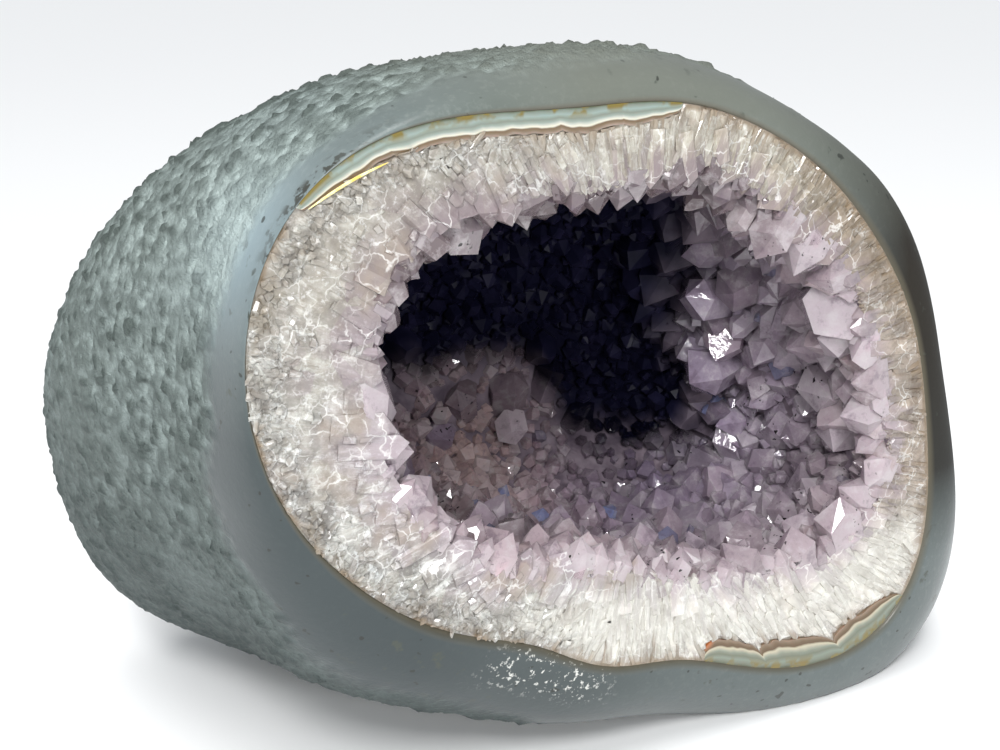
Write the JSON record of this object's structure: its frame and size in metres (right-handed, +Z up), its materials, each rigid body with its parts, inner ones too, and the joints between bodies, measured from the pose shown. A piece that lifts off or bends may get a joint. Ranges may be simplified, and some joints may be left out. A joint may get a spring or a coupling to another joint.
{
  "type": "amethyst geode half",
  "caption": "Hollow amethyst geode with a flat cut face, polished rim, agate bands, quartz lining and standing crystal points; rests on a ground base.",
  "frame": {"origin": "under the middle of the bounding box, on the plane the ground base rests on", "axes": "+Z up, -Y out of the cut face towards the viewer, +X to the viewer's right"},
  "size_m": [0.1946, 0.1078, 0.147],
  "materials": {
    "rind_stone": "weathered grey-green crust, stippled, polished where it rolls over round the opening",
    "agate": "polished banded agate, pale green and white with thin brown lines",
    "quartz": "cut and polished columnar milky quartz, translucent",
    "pale_amethyst": "glossy pale lilac quartz crystal, translucent",
    "amethyst": "glossy violet quartz crystal, darker towards the back of the hollow"
  },
  "bodies": {
    "root": {"agate_band_lower": "agate", "agate_band_upper": "agate", "back_wall_crystal_1": "amethyst", "back_wall_crystal_2": "amethyst", "back_wall_crystal_3": "amethyst", "back_wall_crystal_4": "amethyst", "back_wall_crystal_5": "amethyst", "back_wall_crystal_6": "amethyst", "floor_crystal_1": "amethyst", "floor_crystal_2": "amethyst", "floor_crystal_3": "amethyst", "floor_crystal_4": "amethyst", "floor_crystal_5": "amethyst", "floor_edge_crystal_1": "pale_amethyst", "floor_edge_crystal_2": "pale_amethyst", "floor_edge_crystal_3": "pale_amethyst", "floor_edge_crystal_4": "pale_amethyst", "floor_edge_crystal_5": "pale_amethyst", "floor_edge_crystal_6": "pale_amethyst", "left_edge_crystal_1": "pale_amethyst", "left_edge_crystal_2": "pale_amethyst", "left_edge_crystal_3": "pale_amethyst", "left_edge_crystal_4": "pale_amethyst", "left_edge_crystal_5": "pale_amethyst", "left_wall_crystal_1": "amethyst", "left_wall_crystal_2": "amethyst", "left_wall_crystal_3": "amethyst", "quartz_layer": "quartz", "right_edge_crystal_1": "pale_amethyst", "right_edge_crystal_2": "pale_amethyst", "right_edge_crystal_3": "pale_amethyst", "right_edge_crystal_4": "pale_amethyst", "right_wall_crystal_1": "amethyst", "right_wall_crystal_2": "amethyst", "right_wall_crystal_3": "amethyst", "right_wall_crystal_4": "amethyst", "right_wall_crystal_5": "amethyst", "rind": "rind_stone", "roof_crystal_1": "amethyst", "roof_crystal_2": "amethyst", "roof_crystal_3": "amethyst", "roof_crystal_4": "amethyst", "roof_edge_crystal_1": "pale_amethyst", "roof_edge_crystal_2": "pale_amethyst", "roof_edge_crystal_3": "pale_amethyst", "roof_edge_crystal_4": "pale_amethyst", "roof_edge_crystal_5": "pale_amethyst", "roof_edge_crystal_6": "pale_amethyst", "roof_edge_crystal_7": "pale_amethyst", "roof_edge_crystal_8": "pale_amethyst"}
  },
  "joints": []
}
